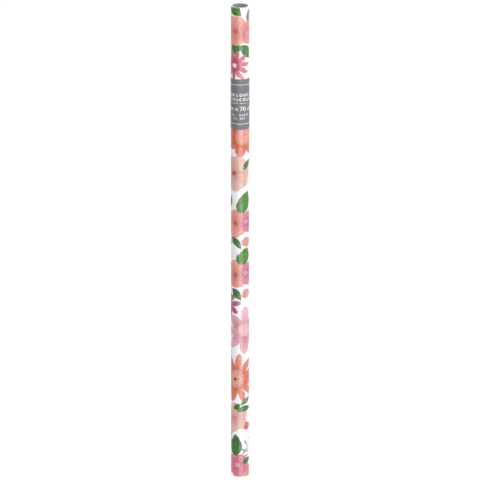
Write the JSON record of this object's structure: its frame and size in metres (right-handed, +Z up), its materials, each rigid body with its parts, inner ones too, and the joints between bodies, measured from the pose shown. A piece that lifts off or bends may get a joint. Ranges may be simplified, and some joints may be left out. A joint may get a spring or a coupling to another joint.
{
  "type": "wrapping paper roll",
  "caption": "Roll of floral gift wrapping paper wound on an open cardboard core, with a paper label band that slides off along the roll.",
  "frame": {"origin": "centre of the roll's lower end, where it stands on a floor or table", "axes": "+Z up along the roll's axis, -Y to the front of the roll, +X to its right as seen from the front; the sheet's free edge and the label band's lap are at the back, towards +Y"},
  "size_m": [0.0271, 0.0271, 0.7],
  "materials": {
    "gift_wrap_paper": "satin",
    "greyboard": "matte",
    "label_paper": "satin",
    "glue": "satin",
    "clear_tape": "gloss"
  },
  "bodies": {
    "roll": {"core_inner_ply": "greyboard", "core_middle_ply": "greyboard", "core_outer_ply": "greyboard", "core_glue_lower": "glue", "core_glue_middle": "glue", "core_glue_upper": "glue", "paper_sheet": "gift_wrap_paper", "tape_tab_lower": "clear_tape", "tape_tab_upper": "clear_tape"},
    "band": {"label_band": "label_paper", "label_glue_line": "glue"}
  },
  "joints": [
    {"name": "band_slide", "type": "slide", "parent": "roll", "child": "band", "axis": [0, 0, 1], "range_m": [-0.519, 0.185]}
  ]
}
